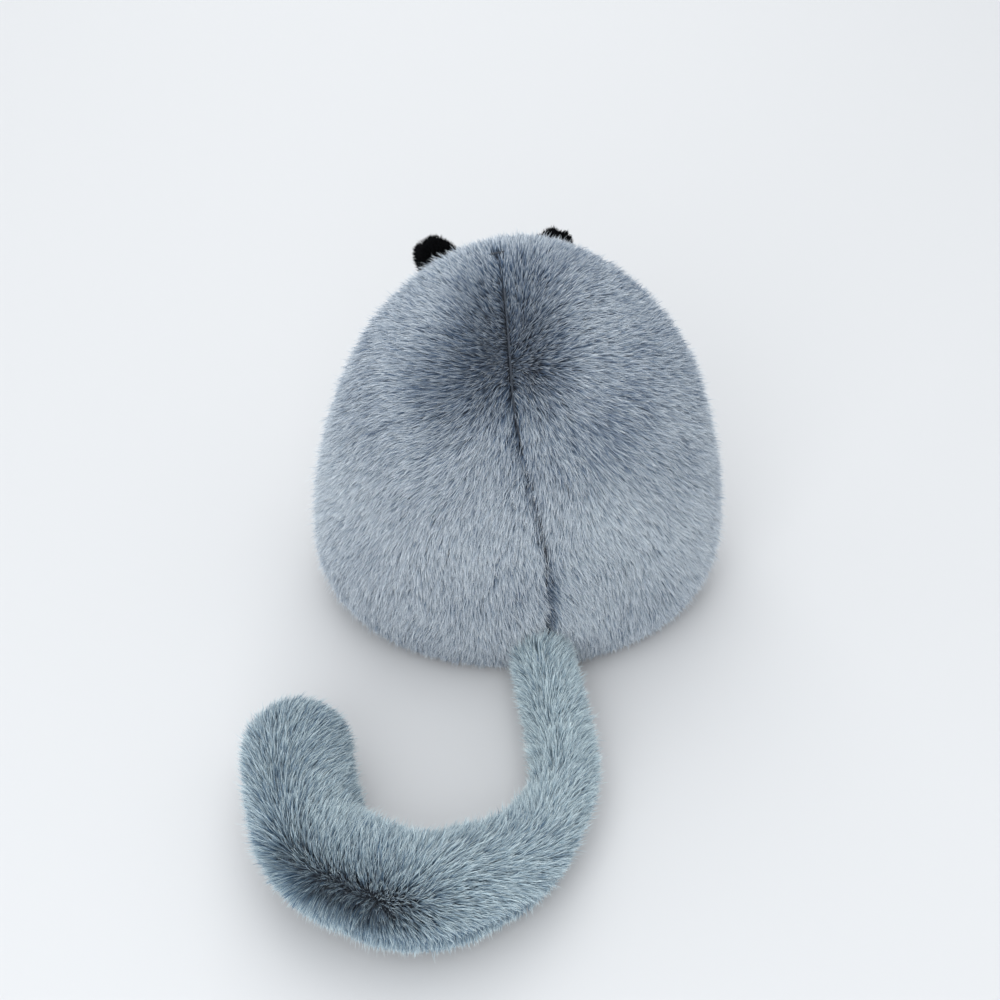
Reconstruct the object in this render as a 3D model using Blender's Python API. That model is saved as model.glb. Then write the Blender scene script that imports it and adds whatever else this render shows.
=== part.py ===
"""A stuffed cat that sits on a flat base, with a round-tipped tail curled on the floor behind it.

Metres, +Z up. The face looks to -Y and the tail starts on the +Y side. The origin is on the
floor under the middle of the body. The fabric panels stand for backing and laid pile together.
"""

import math

import bmesh
import bpy
from mathutils import Matrix, Vector

# Body
BODY_WIDTH = 0.202
BODY_DEPTH = 0.172
BODY_HEIGHT = 0.186
BASE_WIDTH = 0.184
WIDEST_HEIGHT = 0.030
CROWN_ROUNDNESS = 1.89
SHOULDER_ROUNDNESS = 1.88
PILE_WALL = 0.008
BASE_THICKNESS = 0.006
BODY_SIDES = 32
BODY_RINGS = 11

# The back seam bows to the cat's left above the tail
SEAM_BOW = 0.0095
SEAM_AT_BASE = -0.0035
SEAM_BOW_FROM = 0.066
SEAM_BOW_TO = 0.145
SEAM_STEPS = 8

# Clearances
GAP = 0.0005
SOCKET_GAP = 0.0010
SEAM_HALF_GAP = 0.00065
SEAM_THREAD_RADIUS = 0.0005
THREAD_DEPTH = 0.004

# Pellet bag
BAG_RADIUS = 0.055
BAG_HEIGHT = 0.020

# Ears
EAR_SPACING = 0.0494
EAR_CENTRE = 0.0048
EAR_FORWARD = 0.050
EAR_WIDTH = 0.0175
EAR_TIP_WIDTH = 0.004
EAR_LENGTH = 0.0170
EAR_LEFT_RISE = 0.0025
EAR_RIGHT_RISE = -0.0030
EAR_ROOT_DEPTH = 0.010
EAR_THICKNESS = 0.003
EAR_LEAN_BACK = math.radians(6)
EAR_FOLD = math.radians(35)

# Face
EYE_SPACING = 0.062
EYE_HEIGHT = 0.100
EYE_RADIUS = 0.0065
EYE_BULGE = 0.0045
NOSE_HEIGHT = 0.086
NOSE_WIDTH = 0.013
NOSE_TALL = 0.009
NOSE_BULGE = 0.004
SHANK_RADIUS = 0.0020
WASHER_RADIUS = 0.0065
WASHER_THICKNESS = 0.0016
WASHER_DEPTH = PILE_WALL + 0.0012
SHANK_LENGTH = WASHER_DEPTH + WASHER_THICKNESS + 0.0022
MOUTH_WIDTH = 0.018
MOUTH_DROP = 0.006
STITCH_RADIUS = 0.0007

# Tail: each stretch runs straight through its socket, then turns to the cat's left in an arc
TAIL_START = 0.094
TAIL_START_SIDE = -0.0015
TAIL_HEADING = math.radians(93.4)
TAIL_LENGTHS = (0.044, 0.046, 0.044, 0.044, 0.044, 0.043)
TAIL_TURNS = tuple(math.radians(turn) for turn in (4, 30, 36, 55, 49, 10))
TAIL_ROOT_RADIUS = 0.0155
TAIL_END_RADIUS = 0.0235
TAIL_SWELL_FROM = 0.070
TAIL_SWELL_TO = 0.165
TAIL_WALL = 0.004
TAIL_BEND = math.radians(18)
TAIL_SIDES = 20
BALL_STEPS = 4

PILE = (0.235, 0.292, 0.352)
PILE_DARK = (0.150, 0.190, 0.235)
BLACK_PILE = (0.006, 0.006, 0.008)
FIBREFILL = (0.75, 0.75, 0.72)
BAG_CLOTH = (0.60, 0.58, 0.54)
GLOSS_BLACK = (0.008, 0.008, 0.009)
WASHER_WHITE = (0.70, 0.70, 0.68)
NOSE_PINK = (0.42, 0.19, 0.19)
THREAD = (0.045, 0.055, 0.070)


# ---------------------------------------------------------------- helpers


def clear_scene():
    for item in list(bpy.data.objects):
        bpy.data.objects.remove(item, do_unlink=True)


def material(name, color, roughness):
    found = bpy.data.materials.get(name)
    if found:
        return found
    made = bpy.data.materials.new(name)
    made.use_nodes = True
    shader = made.node_tree.nodes["Principled BSDF"]
    shader.inputs["Base Color"].default_value = (*color, 1)
    shader.inputs["Roughness"].default_value = roughness
    return made


def add_mesh(name, points, faces, look):
    """A closed body from points and faces, with its faces turned outward."""
    data = bpy.data.meshes.new(name)
    data.from_pydata([tuple(p) for p in points], [], faces)
    work = bmesh.new()
    work.from_mesh(data)
    bmesh.ops.remove_doubles(work, verts=work.verts, dist=1e-6)
    bmesh.ops.recalc_face_normals(work, faces=work.faces)
    work.to_mesh(data)
    work.free()
    if look:
        data.materials.append(look)
    made = bpy.data.objects.new(name, data)
    bpy.context.collection.objects.link(made)
    return made


def grid_solid(name, outer, inner, look):
    """A closed body between two grids of points with the same rows and columns."""
    rows = len(outer)
    columns = len(outer[0])
    points = [p for row in outer for p in row] + [p for row in inner for p in row]
    far = rows * columns

    def at(i, j):
        return i * columns + j

    faces = []
    for i in range(rows - 1):
        for j in range(columns - 1):
            quad = [at(i, j), at(i + 1, j), at(i + 1, j + 1), at(i, j + 1)]
            faces.append(quad)
            faces.append([far + k for k in reversed(quad)])
    rim = [at(i, 0) for i in range(rows)]
    rim += [at(rows - 1, j) for j in range(1, columns)]
    rim += [at(i, columns - 1) for i in range(rows - 2, -1, -1)]
    rim += [at(0, j) for j in range(columns - 2, 0, -1)]
    for a, b in zip(rim, rim[1:] + rim[:1]):
        faces.append([a, b, far + b, far + a])
    return add_mesh(name, points, faces, look)


def turned(name, rings, look):
    """A closed body from rings of points; a ring of one point is a pole."""
    points = []
    starts = []
    for ring in rings:
        starts.append(len(points))
        points.extend(ring)
    faces = []
    for k in range(len(rings) - 1):
        a, b = rings[k], rings[k + 1]
        count = max(len(a), len(b))
        for j in range(count):
            n = (j + 1) % count
            corners = [starts[k] + j % len(a), starts[k] + n % len(a)]
            corners += [starts[k + 1] + n % len(b), starts[k + 1] + j % len(b)]
            faces.append(list(dict.fromkeys(corners)))
    for k in (0, -1):
        if len(rings[k]) > 1:
            faces.append([starts[k] + j for j in range(len(rings[k]))])
    return add_mesh(name, points, faces, look)


def lathe(name, profile, sides, look, frame=None, flatten=1.0):
    """A body of revolution about Z from (radius, height) pairs; flatten scales it along Y."""
    frame = frame or Matrix.Identity(4)
    rings = []
    for radius, height in profile:
        if radius < 1e-7:
            rings.append([frame @ Vector((0, 0, height))])
            continue
        turns = [2 * math.pi * k / sides for k in range(sides)]
        ring = [Vector((radius * math.cos(a), flatten * radius * math.sin(a), height)) for a in turns]
        rings.append([frame @ p for p in ring])
    return turned(name, rings, look)


def path_way(path, k):
    """The direction of a path at its point k."""
    return (path[min(k + 1, len(path) - 1)] - path[max(k - 1, 0)]).normalized()


def across_plane(path, level):
    """For each point of a flat path, two directions at right angles to it; level is one."""
    return [(level, path_way(path, k).cross(level)) for k in range(len(path))]


def thread_along(name, path, radius, sides, look, across):
    """A round thread along a path; across holds two directions at right angles to it per point."""
    rings = []
    for point, (u, v) in zip(path, across):
        turns = [2 * math.pi * n / sides for n in range(sides)]
        rings.append([point + radius * (math.cos(a) * u + math.sin(a) * v) for a in turns])
    return turned(name, rings, look)


def box(name, low, high):
    corners = [(x, y, z) for x in (low[0], high[0]) for y in (low[1], high[1]) for z in (low[2], high[2])]
    faces = [[0, 1, 3, 2], [4, 6, 7, 5], [0, 4, 5, 1], [2, 3, 7, 6], [0, 2, 6, 4], [1, 5, 7, 3]]
    return add_mesh(name, corners, faces, None)


def cut(target, cutter, how="DIFFERENCE"):
    step = target.modifiers.new(how.title(), "BOOLEAN")
    step.operation = how
    step.solver = "EXACT"
    step.object = cutter
    cutter.hide_render = True
    cutter.display_type = "WIRE"


def move_origin(thing, point):
    thing.data.transform(Matrix.Translation(-point))
    thing.location = point


# ---------------------------------------------------------------- body shape


def egg_radius(height, inset=0.0):
    """Half the body's width at a height, with its surface set in by inset."""
    widest = BODY_WIDTH / 2 - inset
    if height < WIDEST_HEIGHT:
        low = BASE_WIDTH / 2 - inset
        share = (WIDEST_HEIGHT - height) / WIDEST_HEIGHT
        return widest - (widest - low) * share**2.5
    top = BODY_HEIGHT - inset
    share = min((height - WIDEST_HEIGHT) / (top - WIDEST_HEIGHT), 1.0)
    return widest * max(1 - share**CROWN_ROUNDNESS, 0) ** (1 / SHOULDER_ROUNDNESS)


def egg_profile(inset, bottom=0.0):
    """(radius, height) pairs from the bottom edge to the crown."""
    low_steps = 3
    heights = [bottom + (WIDEST_HEIGHT - bottom) * k / low_steps for k in range(low_steps)]
    top = BODY_HEIGHT - inset
    for k in range(BODY_RINGS):
        turn = math.pi / 2 * k / (BODY_RINGS - 1)
        heights.append(WIDEST_HEIGHT + (top - WIDEST_HEIGHT) * math.sin(turn))
    pairs = [(egg_radius(z, inset), z) for z in heights[:-1]]
    return pairs + [(0.0, top)]


def egg_flatten():
    return BODY_DEPTH / BODY_WIDTH


def front_point(x, height, lift=0.0):
    """A point on the face side, lift metres outside the surface, and the way out there."""

    def on_surface(px, pz):
        radius = egg_radius(pz)
        return Vector((px, -egg_flatten() * math.sqrt(max(radius**2 - px**2, 0)), pz))

    step = 0.001
    across = on_surface(x + step, height) - on_surface(x - step, height)
    upward = on_surface(x, height + step) - on_surface(x, height - step)
    out = across.cross(upward).normalized()
    if out.y > 0:
        out = -out
    return on_surface(x, height) + lift * out, out


def facing(point, out):
    """A frame with its origin at point and its Z along out, X level."""
    level = Vector((0, 0, 1)).cross(out).normalized()
    rise = out.cross(level)
    return Matrix.Translation(point) @ Matrix((level, rise, out)).transposed().to_4x4()


def seam_knots():
    """The heights at which the back seam changes its slope."""
    return [SEAM_BOW_FROM + (SEAM_BOW_TO - SEAM_BOW_FROM) * k / SEAM_STEPS for k in range(SEAM_STEPS + 1)]


def seam_side(height):
    """How far to the cat's left the back seam runs at a height, in a straight line between knots."""
    share = (height - SEAM_BOW_FROM) / (SEAM_BOW_TO - SEAM_BOW_FROM)
    place = min(max(share, 0), 1) * SEAM_STEPS
    below = min(int(place), SEAM_STEPS - 1)
    bows = []
    for knot in (below, below + 1):
        share = knot / SEAM_STEPS
        bows.append(share * share * (3 - 2 * share))
    bow = bows[0] + (bows[1] - bows[0]) * (place - below)
    return SEAM_AT_BASE + (SEAM_BOW - SEAM_AT_BASE) * bow


def seam_area(name, side, far):
    """The space behind the body on one side of the back seam."""
    near_rows = []
    far_rows = []
    for z in (-far, *seam_knots(), far):
        x = seam_side(z) + side * SEAM_HALF_GAP
        near_rows.append([Vector((x, SEAM_HALF_GAP, z)), Vector((side * far, SEAM_HALF_GAP, z))])
        far_rows.append([Vector((x, far, z)), Vector((side * far, far, z))])
    return grid_solid(name, near_rows, far_rows, None)


# ---------------------------------------------------------------- body parts


def make_body_panels(looks):
    """The two back panels and the front panel, cut from one pile shell."""
    half = SEAM_HALF_GAP
    far = 2 * BODY_HEIGHT + BODY_WIDTH
    areas = {
        "back_panel_left": seam_area("back_panel_left_area", 1, far),
        "back_panel_right": seam_area("back_panel_right_area", -1, far),
        "front_panel": box("front_panel_area", (-far, -far, -far), (far, -half, far)),
    }
    panels = {}
    for name, area in areas.items():
        outer = egg_profile(0.0)
        inner = egg_profile(PILE_WALL)
        panel = hollow_shell(name, outer, inner, looks["pile"])
        cut(panel, area, "INTERSECT")
        panels[name] = panel
    return panels


def hollow_shell(name, outer, inner, look):
    """A dome with a wall: outer and inner profiles that end in poles, joined at the bottom."""
    points = []
    faces = []
    starts = []
    for profile in (outer, inner):
        rows = []
        for radius, height in profile:
            rows.append(len(points))
            if radius < 1e-7:
                points.append(Vector((0, 0, height)))
                continue
            for k in range(BODY_SIDES):
                a = 2 * math.pi * k / BODY_SIDES
                points.append(Vector((radius * math.cos(a), egg_flatten() * radius * math.sin(a), height)))
        starts.append(rows)
        for i in range(len(profile) - 1):
            for k in range(BODY_SIDES):
                n = (k + 1) % BODY_SIDES
                if i == len(profile) - 2:
                    faces.append([rows[i] + k, rows[i] + n, rows[i + 1]])
                else:
                    faces.append([rows[i] + k, rows[i] + n, rows[i + 1] + n, rows[i + 1] + k])
    for k in range(BODY_SIDES):
        n = (k + 1) % BODY_SIDES
        faces.append([starts[0][0] + k, starts[0][0] + n, starts[1][0] + n, starts[1][0] + k])
    return add_mesh(name, points, faces, look)


def make_filling(looks):
    """The base panel, the stuffing over it and the pellet bag in the stuffing's recess."""
    inset = PILE_WALL + GAP
    heights = (0.0, BASE_THICKNESS)
    disc = [(egg_radius(z, inset), z) for z in heights]
    base = lathe("base_panel", disc, BODY_SIDES, looks["pile_dark"], flatten=egg_flatten())
    floor = BASE_THICKNESS + GAP
    stuffing = lathe(
        "stuffing_body", egg_profile(inset, floor), BODY_SIDES, looks["fill"], flatten=egg_flatten()
    )

    def bag_profile(grow):
        low = floor - grow
        rise = BAG_HEIGHT + 2 * grow
        wide = BAG_RADIUS + grow
        shape = ((0.80, 0.0), (0.97, 0.22), (1.0, 0.45), (0.90, 0.72), (0.62, 0.92), (0.0, 1.0))
        return [(wide * r, low + rise * z) for r, z in shape]

    bag = lathe("pellet_bag", bag_profile(0.0), 20, looks["bag"])
    cut(stuffing, lathe("pellet_bag_room", bag_profile(0.001), 20, None))
    return base, stuffing, bag


def make_seam_threads(looks):
    """Sewing threads in the seam grooves: down the back, over both sides, and round the base."""
    flat = egg_flatten()
    profile = egg_profile(THREAD_DEPTH)
    start = 2 * TAIL_ROOT_RADIUS + 0.006
    crown_stop = 0.006
    back = []
    for z in sorted({z for _, z in profile} | set(seam_knots())):
        r = egg_radius(z, THREAD_DEPTH)
        x = seam_side(z)
        if z > start and r > abs(x) + crown_stop:
            back.append(Vector((x, flat * math.sqrt(r * r - x * x), z)))
    side = [Vector((r, 0, z)) for r, z in profile][1:]
    side += [Vector((-p.x, p.y, p.z)) for p in reversed(side[:-1])]
    for name, path, level in (
        ("back_seam_thread", back, Vector((1, 0, 0))),
        ("side_seam_thread", side, Vector((0, 1, 0))),
    ):
        thread_along(name, path, SEAM_THREAD_RADIUS, 5, looks["thread"], across_plane(path, level))


def make_button(name, frame, width, tall, bulge, look, parts):
    """A moulded face part: a dome on a shank that goes through the panel to a lock washer."""
    stretch = tall / width
    dome = [(0.0, bulge), (0.30, bulge * 0.93), (0.60, bulge * 0.72), (0.85, bulge * 0.40), (1.0, 0.0006)]
    rings = []
    sides = 16
    profile = [(r * width / 2 if k else 0.0, h, stretch) for k, (r, h) in enumerate(dome)]
    profile += [(width / 2, 0.0, stretch), (SHANK_RADIUS, 0.0, 1.0), (SHANK_RADIUS, -SHANK_LENGTH, 1.0)]
    for radius, height, squash in profile:
        if radius < 1e-7:
            rings.append([frame @ Vector((0, 0, height))])
            continue
        turns = [2 * math.pi * k / sides for k in range(sides)]
        ring = [Vector((radius * math.cos(a), squash * radius * math.sin(a), height)) for a in turns]
        rings.append([frame @ p for p in ring])
    turned(name, rings, look)
    hole = lathe(f"{name}_hole", [(SHANK_RADIUS + GAP, -0.03), (SHANK_RADIUS + GAP, 0.02)], sides, None, frame)
    cut(parts["front_panel"], hole)
    top = -WASHER_DEPTH
    low = top - WASHER_THICKNESS
    washer = lathe(f"{name}_washer", [(WASHER_RADIUS, low), (WASHER_RADIUS, top)], sides, parts["washer"], frame)
    cut(washer, hole)
    wide = WASHER_RADIUS + 2 * GAP
    room = lathe(f"{name}_room", [(wide, -SHANK_LENGTH - 0.002), (wide, top + GAP)], sides, None, frame)
    cut(parts["front_panel"], room)
    way_in = lathe(f"{name}_way_in", [(wide, -SHANK_LENGTH - 0.002), (wide, 0.0)], sides, None, frame)
    cut(parts["stuffing"], way_in)


def make_face(looks, panels, stuffing):
    parts = {"front_panel": panels["front_panel"], "stuffing": stuffing, "washer": looks["washer"]}
    for name, side in (("eye_left", 1), ("eye_right", -1)):
        frame = facing(*front_point(side * EYE_SPACING / 2, EYE_HEIGHT, GAP))
        make_button(name, frame, 2 * EYE_RADIUS, 2 * EYE_RADIUS, EYE_BULGE, looks["eye"], parts)
    frame = facing(*front_point(0.0, NOSE_HEIGHT, GAP))
    make_button("nose", frame, NOSE_WIDTH, NOSE_TALL, NOSE_BULGE, looks["nose"], parts)
    lift = STITCH_RADIUS + GAP
    for name, side in (("mouth_left", 1), ("mouth_right", -1)):
        path = []
        outs = []
        steps = 8
        for k in range(steps + 1):
            share = k / steps
            x = side * (0.0012 + share * MOUTH_WIDTH / 2)
            z = NOSE_HEIGHT - NOSE_TALL * 0.75 - MOUTH_DROP * math.sin(math.pi * (0.12 + 0.80 * share))
            point, out = front_point(x, z, lift)
            path.append(point)
            outs.append(out)

        across = [(out, path_way(path, k).cross(out).normalized()) for k, out in enumerate(outs)]
        thread_along(name, path, STITCH_RADIUS, 6, looks["thread"], across)


# ---------------------------------------------------------------- ears


def ear_place(side):
    """The middle of an ear's foot on the crown, and its frame: X along the foot, Z up the ear.

    The frame's own origin is above or below the foot, because the ears aren't sewn quite level.
    """
    x = EAR_CENTRE + side * EAR_SPACING / 2
    reach = EAR_WIDTH / 2
    foot = [Vector((x + k * reach, 0, crown_height(x + k * reach, -EAR_FORWARD))) for k in (-1, 1)]
    along = (foot[1] - foot[0]).normalized()
    base = Vector((x, -EAR_FORWARD, crown_height(x, -EAR_FORWARD)))
    back = Vector((0, 1, 0))
    turn = Matrix((along, back, along.cross(back))).transposed().to_4x4()
    rise = Matrix.Translation((0, 0, EAR_LEFT_RISE if side > 0 else EAR_RIGHT_RISE))
    return base, Matrix.Translation(base) @ turn @ Matrix.Rotation(-EAR_LEAN_BACK, 4, "X") @ rise


def ear_hinge(side):
    """Where an ear's front face meets the crown."""
    base, frame = ear_place(side)
    front = (frame @ Vector((0, -EAR_THICKNESS, 0))).y
    return Vector((base.x, front, crown_height(base.x, front)))


def crown_clearances(side_name, side):
    """The body's outline with a gap, at rest and turned back about an ear's hinge in even steps."""
    hinge = ear_hinge(side)
    foot = ear_place(side)[1].to_3x3().col[0]
    steps = 3
    found = []
    for k in range(steps + 1):
        turn = Matrix.Rotation(-EAR_FOLD * k / steps, 4, foot)
        frame = Matrix.Translation(hinge) @ turn @ Matrix.Translation(-hinge)
        name = f"ear_{side_name}_clearance_{k}"
        found.append(lathe(name, egg_profile(-GAP), BODY_SIDES, None, frame, egg_flatten()))
    return found


def make_ear(side_name, side, looks):
    """A back and a front panel sewn into one ear, both cut to clear the crown as the ear folds."""
    _, frame = ear_place(side)
    clearances = crown_clearances(side_name, side)
    rows, columns = 8, 9
    for name, way in (("back", 1), ("front", -1)):
        flat_face, full_face = [], []
        for i in range(rows):
            share = i / (rows - 1)
            rise = -EAR_ROOT_DEPTH + share * (EAR_LENGTH + EAR_ROOT_DEPTH)
            along = max(rise, 0) / EAR_LENGTH
            half = EAR_TIP_WIDTH / 2 + (EAR_WIDTH - EAR_TIP_WIDTH) / 2 * max(1 - along**2.4, 0) ** 0.6
            flat_row, full_row = [], []
            for j in range(columns):
                u = -1 + 2 * j / (columns - 1)
                cup = 0.0015 * u * u
                swell = 0.0012 + (EAR_THICKNESS - 0.0012) * (1 - u * u) * (1 - along**2)
                flat_row.append(frame @ Vector((half * u, way * GAP / 2 - cup, rise)))
                full_row.append(frame @ Vector((half * u, way * (GAP / 2 + swell) - cup, rise)))
            flat_face.append(flat_row)
            full_face.append(full_row)
        panel = grid_solid(f"ear_{side_name}_{name}", full_face, flat_face, looks["black"])
        move_origin(panel, ear_hinge(side))
        for clearance in clearances:
            cut(panel, clearance)


def crown_height(x, y):
    """The height of the body's upper surface over a point."""
    reach = math.hypot(x, y / egg_flatten())
    low, high = WIDEST_HEIGHT, BODY_HEIGHT
    for _ in range(40):
        middle = (low + high) / 2
        if egg_radius(middle) > reach:
            low = middle
        else:
            high = middle
    return low


# ---------------------------------------------------------------- tail


def tail_radius(s):
    share = min(max((s - TAIL_SWELL_FROM) / (TAIL_SWELL_TO - TAIL_SWELL_FROM), 0), 1)
    eased = share * share * (3 - 2 * share)
    return TAIL_ROOT_RADIUS + (TAIL_END_RADIUS - TAIL_ROOT_RADIUS) * eased


def socket_sizes(start):
    """The radius of the socket round a joint, of the bore past it and of the stuffing's rim there."""
    socket = tail_radius(start) + SOCKET_GAP
    bore = tail_radius(start + socket * 0.7) - TAIL_WALL
    return socket, bore, bore - SOCKET_GAP


def socket_seat(start):
    """How far past a joint the next stretch's socket ends."""
    socket, _, rim = socket_sizes(start)
    return math.sqrt(socket**2 - rim**2)


def tail_frame(s):
    """The centre of the tail, s metres along it, with the way along it, its right and up."""
    heading = TAIL_HEADING
    x, y = TAIL_START_SIDE, TAIL_START
    start = 0.0
    for length, turn in zip(TAIL_LENGTHS, TAIL_TURNS):
        here = min(s - start, length)
        run = socket_seat(start) if start else 0.0
        x += min(here, run) * math.cos(heading)
        y += min(here, run) * math.sin(heading)
        if here > run:
            radius = (length - run) / turn
            swing = (here - run) / radius
            x += radius * (math.sin(heading) - math.sin(heading - swing))
            y += radius * (math.cos(heading - swing) - math.cos(heading))
            heading -= swing
        start += length
        if s <= start:
            break
    along = Vector((math.cos(heading), math.sin(heading), 0))
    right = Vector((math.sin(heading), -math.cos(heading), 0))
    return Vector((x, y, tail_radius(s) + SEAM_HALF_GAP)), along, right


def tail_point(place, angle):
    """A point of the tail from ((pivot or None, distance, radius), angle round it)."""
    pivot, s, radius = place
    if pivot is None:
        centre, _, right = tail_frame(s)
    else:
        centre, along, right = tail_frame(pivot)
        centre = centre + along * (s - pivot)
    return centre + radius * (math.cos(angle) * right + math.sin(angle) * Vector((0, 0, 1)))


def tail_stations(start, end, first, last):
    """Outer and inner places for a segment's skin, from its socket to its ball."""
    outer, inner = [], []
    if first:
        ball = tail_radius(start)
        thin = ball - TAIL_WALL
        edge = math.acos((thin + 0.001) / ball)
        for share in (1.0, 0.5):
            lean = edge * share
            outer.append((start, start - ball * math.sin(lean), ball * math.cos(lean)))
            inner.append((start, start - ball * math.sin(lean), thin))
        near = start
    else:
        socket, bore, _ = socket_sizes(start)
        offset = socket * math.sin(TAIL_BEND)
        deep = math.sqrt(socket**2 - bore**2)
        seat = socket_seat(start)
        for far in (offset, (offset + deep) / 2, deep, seat):
            outer.append((None, start + far, tail_radius(start + far)))
            inner.append((start, start + far, max(math.sqrt(socket**2 - far**2), bore)))
        near = start + seat
    steps = 3
    for k in range(1, steps + 1):
        s = near + (end - near) * k / steps
        outer.append((None, s, tail_radius(s)))
        inner.append((None, s, tail_radius(s) - TAIL_WALL))
    ball = tail_radius(end)
    thin = ball - TAIL_WALL
    if last:
        for k in range(1, BALL_STEPS + 1):
            lean = math.pi / 2 * k / BALL_STEPS
            outer.append((end, end + ball * math.sin(lean), ball * math.cos(lean)))
            inner.append((end, end + thin * math.sin(lean), thin * math.cos(lean)))
    else:
        edge = math.acos((thin + 0.001) / ball)
        for share in (0.5, 1.0):
            lean = edge * share
            outer.append((end, end + ball * math.sin(lean), ball * math.cos(lean)))
            inner.append((end, end + ball * math.sin(lean), thin))
    return outer, inner


def core_places(start, end, first, last):
    """Places down the outside of a segment's stuffing, from pole to pole."""
    slim = TAIL_WALL + SOCKET_GAP
    places = []
    if first:
        ball = tail_radius(start)
        widest = math.asin((ball - slim) / ball)
        for k in range(BALL_STEPS + 1):
            lean = widest * k / BALL_STEPS
            places.append((start, start - ball * math.cos(lean), ball * math.sin(lean)))
    else:
        socket, _, rim = socket_sizes(start)
        widest = math.asin(rim / socket)
        for k in range(BALL_STEPS + 1):
            lean = widest * k / BALL_STEPS
            places.append((start, start + socket * math.cos(lean), socket * math.sin(lean)))
    near = places[-1][1]
    steps = 3
    for k in range(1, steps + 1):
        s = near + (end - near) * k / steps
        places.append((None, s, tail_radius(s) - slim))
    ball = tail_radius(end) - (slim if last else 0.0)
    widest = math.asin(min((tail_radius(end) - slim) / ball, 1.0))
    for k in range(BALL_STEPS - last, -1, -1):
        lean = widest * k / BALL_STEPS
        places.append((end, end + ball * math.cos(lean), ball * math.sin(lean)))
    return places


def make_tail(looks):
    start = 0.0
    for number, length in enumerate(TAIL_LENGTHS, 1):
        end = start + length
        first = number == 1
        last = number == len(TAIL_LENGTHS)
        outer, inner = tail_stations(start, end, first, last)
        pivot = tail_frame(start)[0]
        for side, from_angle, shift in (("upper", 0.0, 1), ("lower", math.pi, -1)):
            turns = [from_angle + math.pi * k / (TAIL_SIDES // 2) for k in range(TAIL_SIDES // 2 + 1)]
            nudge = Vector((0, 0, shift * SEAM_HALF_GAP))
            outer_rows = [[tail_point(place, a) + nudge for a in turns] for place in outer]
            inner_rows = [[tail_point(place, a) + nudge for a in turns] for place in inner]
            panel = grid_solid(f"tail_{number}_{side}", outer_rows, inner_rows, looks["pile"])
            move_origin(panel, pivot)
        rings = []
        for place in core_places(start, end, first, last):
            if place[2] < 1e-7:
                rings.append([tail_point(place, 0.0)])
                continue
            turns = [2 * math.pi * k / TAIL_SIDES for k in range(TAIL_SIDES)]
            rings.append([tail_point(place, a) for a in turns])
        core = turned(f"tail_{number}_stuffing", rings, looks["fill"])
        move_origin(core, pivot)
        start = end


def cut_tail_socket(targets):
    """The hollow at the bottom of the back seam that the tail's root turns in."""
    pivot = tail_frame(0.0)[0]
    reach = TAIL_ROOT_RADIUS + SEAM_HALF_GAP + GAP
    sides = 24
    profile = [(0.0, -reach)]
    for k in range(1, 8):
        turn = math.pi * (k / 8 - 0.5)
        profile.append((reach * math.cos(turn), reach * math.sin(turn)))
    profile.append((0.0, reach))
    ball = lathe("tail_socket", profile, sides, None, Matrix.Translation(pivot))
    for target in targets:
        cut(target, ball)


# ---------------------------------------------------------------- build


def main():
    clear_scene()
    looks = {
        "pile": material("grey_pile", PILE, 0.9),
        "pile_dark": material("base_pile", PILE_DARK, 0.9),
        "black": material("black_pile", BLACK_PILE, 0.9),
        "fill": material("fibrefill", FIBREFILL, 0.95),
        "bag": material("bag_cloth", BAG_CLOTH, 0.9),
        "eye": material("eye_plastic", GLOSS_BLACK, 0.1),
        "washer": material("washer_plastic", WASHER_WHITE, 0.5),
        "nose": material("nose_plastic", NOSE_PINK, 0.4),
        "thread": material("thread", THREAD, 0.8),
    }
    panels = make_body_panels(looks)
    base, stuffing, _ = make_filling(looks)
    make_seam_threads(looks)
    make_face(looks, panels, stuffing)
    make_ear("left", 1, looks)
    make_ear("right", -1, looks)
    make_tail(looks)
    cut_tail_socket([*panels.values(), stuffing])


main()
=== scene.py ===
"""The looks of the stuffed cat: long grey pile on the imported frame, seen from above and behind."""

import math

import bmesh
import bpy
import numpy as np
from mathutils import Matrix, Vector


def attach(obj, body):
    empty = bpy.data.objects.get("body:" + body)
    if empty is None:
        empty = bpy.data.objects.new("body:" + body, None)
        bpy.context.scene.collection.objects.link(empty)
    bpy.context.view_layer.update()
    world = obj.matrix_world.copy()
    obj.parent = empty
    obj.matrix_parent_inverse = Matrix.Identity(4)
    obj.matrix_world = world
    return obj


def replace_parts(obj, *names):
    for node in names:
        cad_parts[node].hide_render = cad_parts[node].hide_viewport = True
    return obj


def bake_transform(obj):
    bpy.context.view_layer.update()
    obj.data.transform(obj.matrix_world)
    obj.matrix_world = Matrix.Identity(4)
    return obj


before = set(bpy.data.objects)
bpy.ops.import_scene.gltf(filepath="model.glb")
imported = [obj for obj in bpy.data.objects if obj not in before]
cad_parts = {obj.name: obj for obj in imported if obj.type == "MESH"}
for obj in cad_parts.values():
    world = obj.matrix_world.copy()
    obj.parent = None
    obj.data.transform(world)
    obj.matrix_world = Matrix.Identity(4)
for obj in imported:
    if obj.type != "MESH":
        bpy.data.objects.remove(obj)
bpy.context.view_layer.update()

# The frame's own sizes, as the design has them, in metres
BODY_WIDTH = 0.202
BODY_DEPTH = 0.172
BODY_HEIGHT = 0.186
BASE_WIDTH = 0.184
WIDEST_HEIGHT = 0.030
CROWN_ROUNDNESS = 1.89
SHOULDER_ROUNDNESS = 1.88
SEAM_BOW = 0.0095
SEAM_AT_BASE = -0.0035
SEAM_BOW_FROM = 0.066
SEAM_BOW_TO = 0.145
SEAM_HALF_GAP = 0.00065
EAR_SPACING = 0.0494
EAR_CENTRE = 0.0048
EAR_FORWARD = 0.050
EAR_WIDTH = 0.0175
EAR_TIP_WIDTH = 0.004
EAR_LENGTH = 0.0170
EAR_LEFT_RISE = 0.0025
EAR_RIGHT_RISE = -0.0030
EAR_THICKNESS = 0.003
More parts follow.
